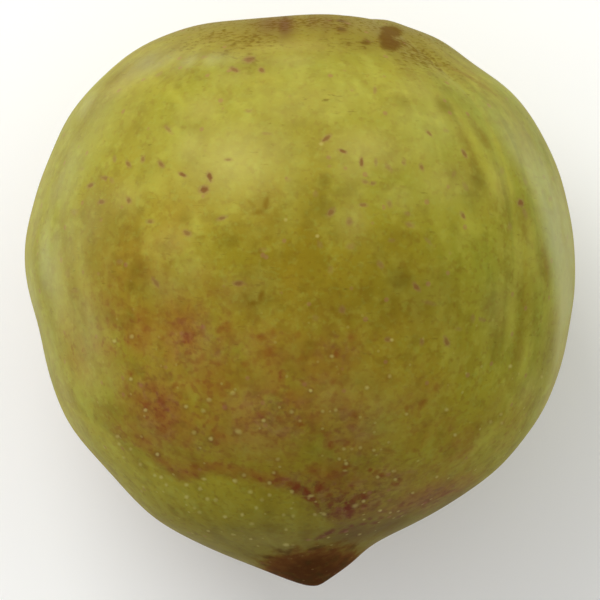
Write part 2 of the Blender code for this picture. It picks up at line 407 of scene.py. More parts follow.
# Wine-red smudges in the blush, where the colour has run together.
SMUDGES = [
    (188.4, 339, 1.1, 0.9, -60, 0.7), (193, 333.3, 0.7, 0.6, 0, 0.5), (227.4, 325.3, 1.1, 0.8, 90, 0.4),
    (221.7, 340.2, 1.1, 0.8, 60, 0.45), (175.2, 385, 0.9, 0.6, 60, 0.7), (161.4, 401, 1.3, 0.7, 70, 0.7),
    (146.5, 405, 0.7, 0.6, 90, 0.7), (130.4, 373.5, 0.7, 0.6, 0, 0.5), (137.9, 398.7, 1.0, 0.8, 0, 0.45),
    (160.8, 414.8, 1.8, 1.3, 80, 0.4), (163, 429.7, 1.5, 0.8, 35, 0.6), (201, 358.6, 1.3, 0.8, 60, 0.4),
    (162.6, 338.5, 0.5, 0.45, 0, 0.5), (180.4, 397.6, 0.6, 0.45, 90, 0.45),
    (194.4, 465.3, 1.0, 0.9, 0, 0.6), (350.8, 336.7, 1.1, 0.9, 90, 0.5), (336.4, 354, 0.7, 0.6, 90, 0.7),
    (300.3, 359, 0.9, 0.6, 45, 0.5), (280.8, 377, 1.2, 0.6, 85, 0.6), (300.3, 424, 0.9, 0.7, 0, 0.75),
    (261.2, 414.8, 1.0, 0.7, -30, 0.6), (279, 418.3, 0.9, 0.7, 0, 0.6), (330.7, 445.8, 1.4, 0.55, 90, 0.75),
    (329, 436, 1.2, 0.8, -30, 0.45), (406.5, 409, 0.6, 0.45, 90, 0.6), (273.3, 333.3, 0.9, 0.6, 90, 0.45),
    (261.2, 337.9, 0.9, 0.6, 0, 0.45), (298.6, 334.4, 0.7, 0.5, 90, 0.45), (290, 341.3, 0.9, 0.6, 0, 0.3),
    (268, 352, 1.5, 0.7, 40, 0.5), (257, 360, 1.2, 0.6, 40, 0.5), (245, 364, 0.8, 0.5, 30, 0.45),
    (334, 380, 0.9, 0.6, 60, 0.4), (310, 382, 1.5, 0.6, 0, 0.3), (354.8, 414.8, 0.9, 0.6, 80, 0.4),
    (348, 424, 1.0, 0.5, 40, 0.3), (436.2, 387.4, 0.8, 0.6, 60, 0.6), (422.4, 403.5, 0.9, 0.6, 60, 0.6),
    (313, 469, 1.4, 1.2, 0, 0.35), (296.6, 486.6, 0.9, 0.8, 60, 1.0), (307, 491, 0.9, 0.5, -60, 0.9),
    (319, 488, 1.3, 0.7, 50, 1.0), (311, 499, 1.4, 0.5, -15, 0.9), (347.6, 507.6, 1.4, 0.7, 80, 1.0),
    (355, 499, 1.2, 0.6, 40, 0.8), (363.5, 496.5, 0.8, 0.6, 0, 0.9), (328.5, 533, 1.5, 0.5, 30, 0.8),
    (344, 531, 1.0, 0.5, 30, 0.7), (370, 470, 0.5, 0.4, 0, 0.9), (382, 475, 0.8, 0.5, 0, 0.8),
    (376, 472, 0.8, 0.4, 30, 0.6), (394, 484, 1.1, 0.5, -10, 0.7), (345.5, 467.4, 0.9, 0.4, 10, 0.8),
    (331, 446.4, 0.8, 0.6, 60, 0.5), (388.4, 455.3, 1.6, 1.2, 90, 0.4), (374.4, 523, 1.0, 0.6, -10, 0.6),
    (401.2, 505, 0.8, 0.5, 60, 0.6), (423, 503, 1.2, 0.5, 20, 0.5), (445.8, 494, 1.2, 0.4, 25, 0.7),
    (259, 479, 1.6, 0.6, 0, 0.3), (275, 482, 1.4, 0.6, -10, 0.4), (291, 484.8, 1.2, 0.6, -10, 0.7),
    (163.8, 461.9, 1.1, 0.5, -60, 0.35), (171.4, 470.8, 1.4, 0.6, -45, 0.4),
    (182.9, 478.5, 1.5, 0.6, -20, 0.4), (194.4, 474.6, 1.1, 0.6, 10, 0.35), (142, 440.8, 0.7, 0.5, 60, 0.3),
    (151, 451.7, 1.1, 0.5, -70, 0.3), (317, 505, 1.0, 0.4, -60, 0.7), (241, 427, 1.0, 0.7, -30, 0.4),
    (217, 434, 1.4, 0.6, -10, 0.4), (223, 395, 0.8, 0.6, 0, 0.4), (236, 395, 0.8, 0.5, 0, 0.4),
    (337, 475, 1.2, 0.9, 0, 0.35), (303, 474, 0.6, 0.5, 0, 0.35), (330, 495, 0.6, 0.45, 0, 0.7),
    (345, 493, 0.5, 0.4, 0, 0.45), (352, 486, 0.6, 0.4, 0, 0.45), (330, 505, 0.8, 0.45, 20, 0.8),
    (350, 513, 1.1, 0.7, 80, 0.9), (337, 510, 1.6, 1.2, 0, 0.35), (364, 506, 0.7, 0.4, 0, 0.8),
    (378, 504, 0.8, 0.4, 60, 0.55), (370, 519, 0.5, 0.45, 0, 0.6), (381, 518, 0.6, 0.5, 0, 0.6),
    (363, 524, 0.8, 0.4, 0, 0.6), (352, 526, 0.45, 0.35, 0, 0.6), (399, 517, 0.8, 0.4, 20, 0.55),
    (406, 513, 0.6, 0.4, 0, 0.4), (428, 500, 0.5, 0.45, 0, 0.5), (424, 507, 0.6, 0.35, 0, 0.5),
    (436, 502, 0.8, 0.4, 20, 0.5), (321, 537, 1.4, 0.5, 30, 0.6), (394, 483, 0.6, 0.4, 0, 0.5),
    (400, 480, 0.6, 0.4, 0, 0.4), (410, 504, 0.6, 0.4, 40, 0.4), (153, 386, 1.2, 0.7, 80, 0.35),
    (220, 330, 0.9, 0.7, 60, 0.3), (192, 318, 1.2, 0.8, 70, 0.3), (246, 364, 1.2, 0.5, 40, 0.45),
    (283, 378, 0.8, 0.6, 60, 0.5), (229, 386, 1.0, 0.6, 0, 0.3), (276, 394, 0.7, 0.5, 0, 0.4),
    (288, 394, 0.7, 0.5, 0, 0.4), (146, 312, 0.6, 0.7, 90, 0.3), (138, 340, 0.9, 0.6, 0, 0.3),
]

# Pale pores, the lenticels, dense towards the tip. Each is a pin-prick of corky skin.
PORES = [
    (317.3, 236, 0.55, 0.5, 0, 0.7), (285.7, 219.9, 0.5, 0.5, 0, 0.5), (321.3, 144, 0.6, 0.5, 0, 0.6),
    (392, 340, 0.5, 0.45, 0, 0.8), (331.8, 356.3, 0.6, 0.5, 0, 0.7), (310.6, 390.7, 0.48, 0.48, 0, 1.0),
    (300, 421, 0.5, 0.4, 0, 0.6), (263.5, 420.5, 0.6, 0.5, 0, 0.9), (366.9, 387.8, 0.6, 0.55, 0, 0.8),
    (389.8, 376.3, 0.55, 0.55, 0, 0.6), (406.5, 414.2, 0.5, 0.4, 0, 0.7), (322.7, 411.4, 0.5, 0.5, 0, 0.6),
    (335.9, 410.2, 0.55, 0.5, 0, 0.6), (291.7, 412, 0.6, 0.6, 0, 0.6), (346.2, 463.6, 0.55, 0.5, 0, 1.0),
    (339.3, 459, 0.5, 0.45, 0, 0.7), (394.4, 471, 0.6, 0.5, 0, 0.5), (114.4, 341.3, 0.5, 0.5, 0, 0.8),
    (145.4, 410.2, 0.55, 0.5, 0, 0.9), (130.8, 379.2, 0.5, 0.5, 0, 0.8), (186, 406.8, 0.55, 0.5, 0, 0.8),
    (209, 399.9, 0.7, 0.6, 0, 0.6), (203.3, 410.8, 0.7, 0.6, 0, 0.5), (232.6, 393, 0.7, 0.6, 0, 0.6),
    (210.8, 438.9, 0.6, 0.6, 0, 1.0), (238.3, 431.5, 1.0, 0.7, -20, 0.7), (194, 432.6, 0.6, 0.6, 0, 0.6),
    (157.4, 454.4, 0.55, 0.5, 0, 1.0), (131.6, 336.7, 0.6, 0.6, 0, 0.6), (119, 444, 0.55, 0.5, 0, 0.7),
    (117.2, 436.6, 0.55, 0.5, 0, 0.7), (510.2, 366.2, 0.5, 0.5, 0, 0.8), (541.8, 377, 0.6, 0.4, -50, 0.5),
    (446.5, 409.8, 0.55, 0.5, 0, 0.8), (455, 435, 0.5, 0.45, 0, 0.8), (490.7, 421.9, 0.5, 0.5, 0, 0.5),
    (501.6, 423, 0.5, 0.5, 0, 0.5), (501, 414.4, 0.5, 0.45, 0, 0.5), (373.8, 450.2, 0.5, 0.4, 0, 0.8),
    (360.4, 447.7, 0.5, 0.5, 0, 0.7), (343.8, 449, 0.55, 0.5, 0, 0.7), (352, 449, 0.5, 0.4, 0, 0.5),
    (310.6, 496.1, 0.9, 0.45, 10, 0.9), (292, 491.7, 0.6, 0.5, -30, 0.8), (324, 514, 0.8, 0.5, -20, 0.8),
    (363.5, 501.2, 0.5, 0.45, 0, 1.0), (355.3, 505.7, 0.9, 0.55, 20, 0.7),
    (380.1, 510.8, 0.55, 0.5, 0, 1.0), (377.6, 477, 0.5, 0.45, 0, 0.9), (395.4, 479.5, 0.5, 0.45, 0, 0.8),
    (393.5, 471.3, 0.5, 0.45, 0, 0.7), (436.9, 477, 0.5, 0.4, 30, 0.8), (412.7, 492.9, 0.5, 0.4, 20, 0.8),
    (390.3, 512.7, 0.5, 0.45, 0, 0.8), (398.6, 511.4, 0.5, 0.45, 0, 0.7), (364.2, 519.7, 0.45, 0.4, 0, 0.8),
    (359.7, 534.4, 0.6, 0.5, 20, 0.6), (315, 514.6, 0.55, 0.5, 0, 0.7), (345, 470.6, 0.6, 0.35, 0, 0.6),
    (328.5, 537.5, 0.5, 0.35, 20, 0.7), (117.9, 436.4, 0.5, 0.5, 0, 0.8),
    (140.2, 464.4, 0.55, 0.55, 0, 0.7), (154.8, 475.3, 0.5, 0.5, 0, 0.8),
    (161.2, 477.4, 0.55, 0.55, 0, 1.0), (166.3, 484.8, 0.5, 0.5, 0, 0.8), (186.4, 484.8, 0.6, 0.5, 0, 0.9),
    (204, 479.1, 0.7, 0.4, -10, 0.9), (186.7, 497, 0.6, 0.55, 0, 1.0), (200, 488.7, 0.5, 0.6, 0, 0.7),
    (207.4, 498.9, 0.6, 0.55, 0, 0.8), (215.8, 499.9, 0.6, 0.55, 0, 0.6), (235.2, 481, 0.65, 0.6, 0, 0.8),
    (250.3, 491.9, 0.65, 0.55, 0, 0.8), (269.6, 482.9, 0.55, 0.5, 0, 0.8), (274, 472.7, 0.5, 0.45, 0, 0.7),
    (244.1, 475.3, 0.6, 0.5, 0, 0.6), (225, 516.7, 0.6, 0.5, 0, 1.0), (242.2, 514.8, 0.5, 0.5, 0, 1.0),
    (256.3, 507.8, 0.5, 0.5, 0, 0.8), (208.2, 531.1, 0.5, 0.45, 0, 0.8), (199.5, 512.3, 0.6, 0.5, 0, 0.5),
    (194.5, 508, 0.5, 0.45, 0, 0.5), (232.7, 534.6, 0.5, 0.45, 0, 0.6), (251.8, 523.8, 0.7, 0.5, 0, 0.6),
    (250.8, 539.1, 0.5, 0.4, 0, 0.8), (286.2, 529.5, 0.5, 0.45, 0, 0.7), (286.2, 544.8, 0.9, 0.6, 0, 0.9),
    (283.7, 515, 0.5, 0.5, 0, 0.6), (293.2, 516, 0.5, 0.5, 0, 0.6), (262, 500, 0.6, 0.5, 0, 0.5),
    (269.6, 495, 0.55, 0.5, 0, 0.7), (288.8, 558.2, 0.45, 0.35, 0, 0.8), (277.9, 459.3, 0.6, 0.5, 0, 0.6),
    (123.6, 457.4, 0.5, 0.5, 0, 0.6), (130.6, 449, 0.5, 0.5, 0, 0.6), (143.4, 486.8, 0.5, 0.5, 0, 0.6),
    (141.5, 491.2, 0.5, 0.5, 0, 0.5), (293, 545, 0.5, 0.4, 0, 0.5), (300, 555, 0.4, 0.3, 0, 0.7),
]

# Strokes beside the suture, paler and darker in turn: painted highlights on ridges and painted shade in hollows
# of the flesh under the skin. A few dark ones elsewhere are the skin's own marks.
RIDGE_HIGHLIGHTS = [
    (461, 116, 4.5, 0.8, -62, 0.6), (474, 141, 4.5, 0.9, -64, 0.8), (489, 173, 4.5, 1.1, -66, 0.8),
    (494, 140, 4.0, 0.8, -64, 0.5), (511, 318, 6.5, 1.0, 88, 0.9), (536, 266, 3.5, 0.8, -82, 0.8),
    (524, 358, 5.0, 1.3, 76, 0.8), (505, 392, 5.0, 1.2, 62, 0.6), (470, 222, 3.0, 1.2, -60, 0.6),
    (443, 232, 4.0, 1.3, -75, 0.5), (531, 232, 3.0, 0.8, -75, 0.5), (487, 438, 6.0, 1.3, 52, 0.5),
    (135, 95, 5.0, 1.2, 50, 0.5), (172, 92, 3.0, 1.0, -50, 0.7), (156, 84, 3.0, 0.9, -60, 0.5),
]
DARK_MARKS_AND_HOLLOW_SHADES = [
    (466, 142, 3.5, 1.0, -64, 0.35), (486, 141, 2.6, 0.7, -64, 0.45), (524, 300, 5.5, 1.0, 88, 0.4),
    (519, 345, 5.5, 1.1, 84, 0.6), (513, 375, 4.0, 1.1, 76, 0.4), (547, 268, 4.0, 1.0, -84, 0.7),
    (497, 400, 5.0, 1.2, 62, 0.4), (466, 75, 4.5, 0.6, -26, 0.7), (484, 86, 3.0, 0.5, -36, 0.6),
    (523, 222, 3.5, 0.8, -76, 0.5), (497, 340, 5.0, 1.3, 86, 0.12), (470, 430, 6.0, 1.3, 52, 0.35),
    (266, 203, 1.5, 0.5, 75, 0.9), (259, 212, 1.5, 0.5, 10, 0.9), (251, 203, 1.0, 0.4, -40, 0.5),
    (261, 296, 1.5, 0.5, 70, 1.0), (254, 303, 1.5, 0.5, 10, 1.0), (246, 297, 1.0, 0.4, -50, 0.6),
    (341, 20.5, 1.0, 0.5, 0, 1.0), (341, 29, 1.0, 0.8, -20, 1.0),
]


def soft_step(values, low, high):
    """0 at low and below, 1 from high on, and a smooth cubic between."""
    share = np.clip((values - low) / (high - low), 0, 1)
    return share * share * (3 - 2 * share)


# Where the photograph shows each point of the skin, in its pixels, and how far each faces the camera.
growth = CAMERA_RISE / (camera_place[2] - grid[..., 2])
picture_x = PICTURE_PIXELS / 2 + (grid[..., 0] - PICTURE_MIDDLE[0]) * growth / PIXEL
picture_y = PICTURE_PIXELS / 2 - (grid[..., 1] - PICTURE_MIDDLE[1]) * growth / PIXEL
TURNS_AWAY = (-0.3, 0.05)      # of the skin's direction, how much is upwards where it goes out of sight
seen = soft_step(normal[..., 2], *TURNS_AWAY)

# Where a leaf lay on the fruit, it stayed green, up to a line (pixel x, pixel y) with a red rim over it.
LEAF_EDGE = np.array([
    (20, 350), (70, 405), (116, 437), (151, 461), (180, 480), (196, 478), (214, 473), (259, 484),
    (285, 487), (310, 504), (330, 522), (352, 529), (380, 541),
])
LEAF_END = (325, 358)          # pixel x between which the leaf's mark fades out
LEAF_SOFT_EDGE = (-3, 5)       # pixels below the line, over which the green sets in
LEAF_RIM_RISE = 7              # pixels of the red rim's middle over the line
LEAF_RIM_HALF_WIDTH = 8
LEAF_RIM_START = (110, 160)    # pixel x between which the rim sets in
LEAF_SHADE_BEHIND = [(0.45, 300, 9.0, 0.6), (0.7, 340, 7.0, 0.7), (0.55, 250, 5.0, 0.5)]
below_leaf_edge = picture_y - np.interp(picture_x, LEAF_EDGE[:, 0], LEAF_EDGE[:, 1])
leaf_reach = seen * (1 - soft_step(picture_x, *LEAF_END))
leaf_shade = soft_step(below_leaf_edge, *LEAF_SOFT_EDGE) * leaf_reach
leaf_rim = np.exp(-(((below_leaf_edge + LEAF_RIM_RISE) / LEAF_RIM_HALF_WIDTH) ** 2))
leaf_rim = leaf_rim * leaf_reach * soft_step(picture_x, *LEAF_RIM_START)

# Where the sun reached the fruit, it reddened: (pixel x, pixel y, half width, half height, strength).
BLUSH = [
    (158, 408, 4.6, 5.5, 0.9), (75, 345, 3.0, 3.0, 0.5), (350, 512, 3.4, 1.6, 0.9),
    (184, 335, 3.6, 4.5, 0.8), (225, 335, 1.6, 3.2, 0.5), (120, 385, 3.0, 5.0, 0.2),
    (235, 415, 5.5, 4.5, 0.65), (288, 385, 5.0, 5.0, 0.7), (255, 345, 4.0, 2.2, 0.55),
    (345, 350, 4.0, 3.0, 0.35), (185, 468, 3.0, 1.3, 0.6), (275, 478, 4.0, 1.3, 0.6),
    (330, 480, 4.5, 3.5, 0.85), (375, 485, 5.5, 3.5, 0.55), (415, 500, 6.0, 2.4, 0.85),
    (410, 405, 4.0, 4.5, 0.35), (345, 440, 4.5, 4.0, 0.65), (445, 455, 5.0, 4.0, 0.4),
    (200, 300, 7.0, 3.5, 0.3), (110, 310, 4.0, 5.0, 0.45), (140, 438, 5.0, 3.0, 0.7),
    (106, 340, 2.6, 2.6, 0.8), (425, 436, 3.0, 2.6, 0.5), (330, 535, 4.0, 1.2, 0.7),
    (260, 440, 8.0, 4.5, 0.5), (290, 410, 14.0, 9.0, 0.5), (128, 332, 5.0, 4.0, 0.7),
    (150, 260, 6.0, 4.0, 0.2), (152, 276, 3.0, 2.4, 0.35), (440, 496, 5.0, 2.4, 1.0),
    (205, 432, 6.0, 4.0, 0.8), (440, 430, 4.0, 3.0, 0.4), (200, 380, 7.0, 6.0, 0.65),
    (400, 508, 5.0, 1.6, 0.9), (508, 432, 3.0, 4.0, 0.3), (370, 532, 5.0, 1.6, 0.8),
]
BLUSH_BEHIND = [(0.62, 235, 17.0, 0.9), (0.8, 300, 12.0, 0.7), (0.5, 200, 9.0, 0.5), (0.72, 265, 9.0, 0.8)]
KEPT_FROM_BLUSH = 0.75         # share of the blush, and of the wine below, that the leaf kept off
KEPT_FROM_WINE = 0.8
RIM_BLUSH = 0.8                # strength of the blush in the leaf's rim
blush = np.maximum(soft_ovals(BLUSH), soft_patches(BLUSH_BEHIND))
blush = np.maximum(blush * (1 - KEPT_FROM_BLUSH * leaf_shade), RIM_BLUSH * leaf_rim)

# Where the red has run together to wine.
WINE = [
    (304, 489, 3.0, 1.6, 0.9), (345, 505, 4.8, 3.4, 1.0), (388, 480, 4.2, 2.6, 0.45),
    (197, 441, 2.4, 2.0, 0.35), (305, 384, 2.4, 2.0, 0.25), (335, 531, 3.5, 1.2, 0.9),
    (430, 498, 5.0, 2.0, 0.7), (172, 469, 3.0, 0.9, 0.25), (158, 405, 3.0, 4.4, 0.5),
    (191, 338, 2.8, 2.4, 0.45), (262, 345, 4.5, 2.2, 0.15), (275, 418, 5.0, 3.0, 0.5),
    (337, 350, 2.2, 1.6, 0.35), (345, 425, 3.5, 2.6, 0.45), (420, 398, 2.5, 2.5, 0.15),
    (120, 385, 1.6, 3.0, 0.15), (220, 350, 3.0, 2.0, 0.3), (365, 460, 4.0, 2.4, 0.35),
]
WINE_BEHIND = [(0.68, 245, 9.0, 0.7), (0.84, 290, 7.0, 0.8), (0.55, 212, 6.0, 0.5)]

# Soft olive blotches: partly the skin's own darker patches, partly painted shade over the cheek's middle, along
# the top and on the tip's side.
BLOTCHES_AND_SHADE = [
    (138, 270, 1.4, 1.3, 0.5), (443, 105, 1.2, 1.3, 0.55), (479, 180, 1.0, 1.4, 0.6),
    (123, 215, 1.1, 1.0, 0.35), (106, 235, 1.2, 1.3, 0.35), (138, 234, 0.9, 1.0, 0.35),
    (338, 192, 1.6, 0.9, 0.4), (324, 181, 0.9, 0.8, 0.5), (404, 103, 1.0, 1.1, 0.3),
    (454, 174, 0.9, 1.0, 0.25), (395, 275, 2.0, 2.0, 0.6), (231, 240, 1.8, 1.3, 0.35),
    (470, 200, 1.2, 2.2, 0.3), (163, 248, 0.6, 0.6, 0.35), (184, 219, 0.7, 0.6, 0.3),
    (131, 285, 0.8, 0.8, 0.4), (500, 345, 1.6, 2.4, 0.15), (310, 344, 0.8, 0.6, 0.5),
    (424, 252, 1.0, 1.2, 0.4), (540, 260, 0.8, 2.6, 0.3), (258, 238, 3.6, 2.2, 0.25),
    (311, 214, 2.8, 2.4, 0.35), (375, 270, 3.0, 5.0, 0.3), (442, 268, 3.0, 2.2, 0.25),
    (108, 236, 4.0, 3.0, 0.35), (408, 312, 3.6, 3.4, 0.3), (250, 380, 3.6, 1.6, 0.3),
    (508, 208, 1.6, 1.6, 0.25), (312, 255, 2.6, 4.0, 0.35), (398, 278, 3.4, 4.2, 0.45),
    (455, 500, 4.5, 1.8, 0.4), (355, 530, 4.0, 1.5, 0.5), (135, 70, 4.0, 2.4, 0.4),
    (100, 112, 4.0, 4.0, 0.2), (180, 72, 4.0, 2.4, 0.3), (150, 285, 3.0, 2.0, 0.2),
    (265, 548, 4.0, 1.2, 0.2), (357, 380, 2.4, 1.6, 0.3), (146, 168, 1.6, 1.4, 0.2),
    (320, 210, 4.0, 3.0, 0.3), (425, 240, 4.0, 3.0, 0.2), (265, 270, 3.0, 4.0, 0.2),
    (385, 528, 4.0, 1.2, 0.5), (260, 66, 5.0, 1.4, 0.3), (400, 285, 9.0, 7.0, 0.4),
    (402, 280, 1.8, 1.8, 0.8), (230, 75, 9.0, 2.0, 0.1), (95, 238, 3.0, 4.0, 0.3), (445, 90, 4.0, 2.0, 0.2),
    (321, 207, 1.5, 1.8, 0.6), (300, 238, 2.2, 1.6, 0.35), (262, 266, 2.6, 2.4, 0.25),
    (396, 236, 3.0, 1.6, 0.4), (400, 262, 2.2, 2.4, 0.4), (330, 262, 3.0, 1.6, 0.25),
    (242, 255, 2.0, 2.0, 0.2), (280, 258, 2.4, 2.0, 0.25), (266, 207, 1.8, 1.6, 0.2),
    (256, 300, 1.9, 1.6, 0.3), (372, 236, 1.0, 1.6, 0.3), (420, 262, 1.6, 2.0, 0.2),
    (444, 264, 0.9, 1.4, 0.35), (312, 258, 1.6, 2.4, 0.25), (238, 378, 3.0, 1.4, 0.25),
    (348, 190, 1.6, 1.0, 0.25), (341, 20.5, 0.5, 0.35, 1.3), (341, 29, 0.5, 0.45, 1.3),
    (293, 364, 2.4, 3.0, 0.3), (165, 510, 4.0, 3.0, 0.2), (322, 450, 2.0, 2.0, 0.25),
    (552, 345, 1.4, 3.4, 0.45), (352, 536, 4.5, 1.5, 0.8), (388, 525, 4.5, 1.3, 0.7),
    (514, 108, 2.0, 2.4, 0.2), (146, 63, 3.2, 1.9, 0.65), (256, 556, 3.0, 1.0, 0.35),
    (243, 533, 2.6, 1.6, 0.2), (135, 96, 2.0, 2.0, 0.25), (167, 51, 3.0, 1.0, 0.3),
    (118, 74, 2.4, 2.0, 0.45), (329, 228, 3.4, 2.8, 0.3), (289, 217, 3.0, 2.6, 0.3),
    (204, 184, 2.6, 2.4, 0.18), (264, 138, 4.0, 2.0, 0.12), (296, 144, 3.0, 2.0, 0.12),
    (193, 57, 2.4, 0.9, 0.4), (219, 55, 2.4, 1.2, 0.25), (394, 269, 2.0, 1.6, 0.4),
    (393, 340, 2.4, 2.0, 0.2), (518, 214, 1.8, 2.0, 0.2),
]

# Riper, more golden skin over the middle of the cheek and on its full side.
RIPE = [
    (125, 262, 5.5, 5.0, 1.0), (180, 230, 7.0, 5.0, 0.5), (285, 232, 7.0, 5.0, 0.6),
    (98, 240, 4.0, 5.0, 0.6), (80, 300, 4.0, 6.0, 0.5), (215, 260, 6.0, 5.0, 0.45),
    (300, 300, 9.0, 7.0, 0.75), (120, 80, 4.0, 4.0, 0.4), (260, 330, 9.0, 5.0, 0.5),
    (330, 360, 8.0, 6.0, 0.8), (205, 187, 2.6, 2.6, 0.5), (150, 320, 5.0, 3.5, 1.0),
    (115, 235, 4.0, 3.0, 0.6), (322, 150, 4.0, 4.0, 0.45), (400, 320, 5.0, 5.0, 0.5),
    (310, 240, 5.0, 4.0, 0.5),
]

GOLDEN_AND_SHADE = [                     # the deepest of it, and near the tip and the right edge painted shade that takes out the pale reflection
    (290, 236, 9.0, 6.5, 1.0), (254, 276, 5.0, 5.0, 0.8), (325, 217, 5.0, 4.6, 0.9),
    (270, 140, 7.0, 3.0, 0.55), (225, 124, 4.0, 2.0, 0.4), (205, 186, 3.0, 3.0, 0.5),
    (381, 219, 2.6, 2.4, 0.5), (329, 228, 3.4, 2.6, 0.9), (400, 526, 7.0, 2.0, 0.6),
    (300, 556, 4.0, 1.2, 0.4), (555, 340, 1.5, 4.0, 0.4),
]

# Greener skin past the suture, and paler skin, partly painted: a painted highlight on the cheek's upper left
# and painted sheen along the outline.
GREEN = [
    (475, 110, 6.0, 6.0, 1.0), (545, 220, 3.5, 10.0, 0.9), (472, 190, 4.0, 4.0, 0.6),
    (440, 135, 6.0, 4.0, 0.8), (508, 95, 3.6, 5.0, 1.0), (50, 235, 2.5, 8.0, 0.6),
    (530, 330, 4.0, 8.0, 0.5), (490, 265, 5.0, 7.0, 0.6), (540, 140, 3.0, 4.0, 0.9),
    (110, 100, 4.0, 3.0, 0.4), (270, 62, 12.0, 1.6, 0.35), (206, 336, 1.2, 2.4, 0.8),
    (288, 548, 2.4, 1.6, 0.6), (241, 345, 2.0, 1.6, 0.5),
]
PALE_AND_HIGHLIGHT = [
    (233, 160, 5.6, 4.2, 0.75), (365, 148, 4.0, 2.4, 0.5), (400, 198, 3.0, 1.6, 0.3),
    (290, 75, 8.0, 1.6, 0.2), (62, 305, 2.2, 6.0, 0.7), (86, 375, 3.0, 4.0, 0.5), (562, 320, 1.8, 9.0, 0.6),
    (180, 60, 2.4, 0.8, 0.1), (430, 120, 6.0, 3.0, 0.35), (500, 182, 1.6, 2.4, 0.4),
    (190, 272, 2.4, 2.0, 0.3), (250, 440, 4.0, 2.0, 0.35), (380, 412, 3.0, 3.0, 0.3),
    (110, 440, 3.0, 3.0, 0.2), (170, 140, 5.0, 3.0, 0.15), (128, 100, 4.0, 3.0, 0.15),
    (300, 98, 9.0, 3.0, 0.3), (420, 92, 4.0, 2.0, 0.35), (46, 335, 1.6, 5.0, 0.5), (85, 296, 3.0, 3.0, 0.4),
    (240, 290, 3.0, 2.0, 0.25), (498, 305, 2.0, 3.0, 0.3), (382, 430, 3.0, 2.6, 0.25),
    (190, 128, 2.0, 2.0, 0.1), (285, 112, 3.0, 2.0, 0.3), (100, 130, 3.0, 4.0, 0.3),
    (46, 385, 1.6, 4.5, 0.7), (72, 425, 2.0, 3.4, 0.5), (549, 405, 1.4, 4.0, 0.6),
    (530, 440, 1.6, 3.0, 0.4), (442, 184, 4.0, 2.6, 0.35), (30, 300, 1.2, 5.0, 0.5),
    (268, 541, 3.4, 1.5, 0.4), (385, 480, 2.2, 1.6, 0.35), (262, 426, 2.6, 2.0, 0.45),
    (155, 432, 2.0, 2.0, 0.25), (352, 190, 2.0, 2.0, 0.25), (353, 220, 1.6, 2.4, 0.4),
    (197, 345, 1.8, 4.0, 0.25), (532, 245, 1.6, 4.0, 0.25), (288, 46, 5.0, 1.0, 0.5),
    (367, 27, 2.0, 0.9, 0.6), (63, 391, 2.5, 3.0, 0.4), (202, 108, 3.0, 2.0, 0.4),
    (168, 288, 2.4, 2.0, 0.4), (365, 430, 2.4, 2.0, 0.45), (246, 408, 2.6, 2.0, 0.4),
    (389, 488, 2.4, 1.4, 0.4), (287, 548, 2.0, 1.2, 0.5), (125, 198, 2.4, 2.0, 0.4),
    (352, 171, 2.4, 2.0, 0.35), (194, 149, 3.0, 2.4, 0.55), (170, 243, 2.4, 2.0, 0.35),
    (388, 158, 2.4, 1.8, 0.35), (232, 79, 3.0, 1.6, 0.3), (110, 380, 2.4, 2.4, 0.3),
    (125, 82, 2.4, 2.4, 0.5), (289, 61, 3.0, 1.4, 0.5), (333, 399, 2.4, 2.4, 0.35),
    (423, 149, 2.4, 2.4, 0.3), (528, 390, 1.6, 2.4, 0.4), (430, 44, 2.0, 1.2, 0.4),
]

# Russet round the stem end: solid patches, soft stains, and drifts of a dry brown net (pixel x, pixel y and
# sizes as above).
RUSSET_PATCHES = [
    (391.5, 31, 1.45, 0.9, 1.1), (390, 44, 1.4, 0.9, 1.1), (386.5, 37.5, 0.95, 1.2, 1.1),
    (366, 42, 0.8, 0.5, 0.7), (430, 63, 0.6, 0.4, 0.6), (440, 70, 0.5, 0.3, 0.6),
]
RUSSET_STAINS = [
    (284.5, 25, 0.95, 1.7, 1.6), (272, 24, 2.0, 1.7, 1.0), (313, 21, 0.7, 1.4, 0.6),
    (326, 22, 0.8, 1.4, 0.6), (345, 24, 0.8, 1.4, 0.35), (389, 38, 2.2, 2.0, 0.3), (366, 44, 1.6, 1.0, 0.3),
]
RUSSET_DRIFTS = [
    (248, 40, 3.6, 1.6, 0.85), (224, 52, 1.8, 0.9, 0.6), (350, 45, 2.6, 1.2, 0.6), (420, 56, 4.2, 2.4, 0.9),
    (300, 22, 9.0, 1.2, 0.8), (396, 42, 3.2, 1.5, 0.9), (252, 56, 1.8, 1.2, 0.6), (215, 36, 3.4, 1.4, 0.7),
    (450, 72, 2.4, 1.6, 0.4), (185, 46, 3.0, 1.2, 0.5), (330, 98, 3.0, 1.2, 0.3),
]
RUSSET_DEPTH = 5.0             # of these ovals away from the camera, where the skin turns under
RUSSET_BEHIND = [(0.27, 200, 3.0, 0.9), (0.3, 265, 2.6, 0.8), (0.24, 320, 2.4, 0.9), (0.33, 285, 3.4, 0.6)]
SHOULDER_REACH = (24, 12)      # from the scar, where the russet and the painted shade round the stem end thin out
SHOULDER_DRIFT = 0.45          # strength of the net all over the shoulder

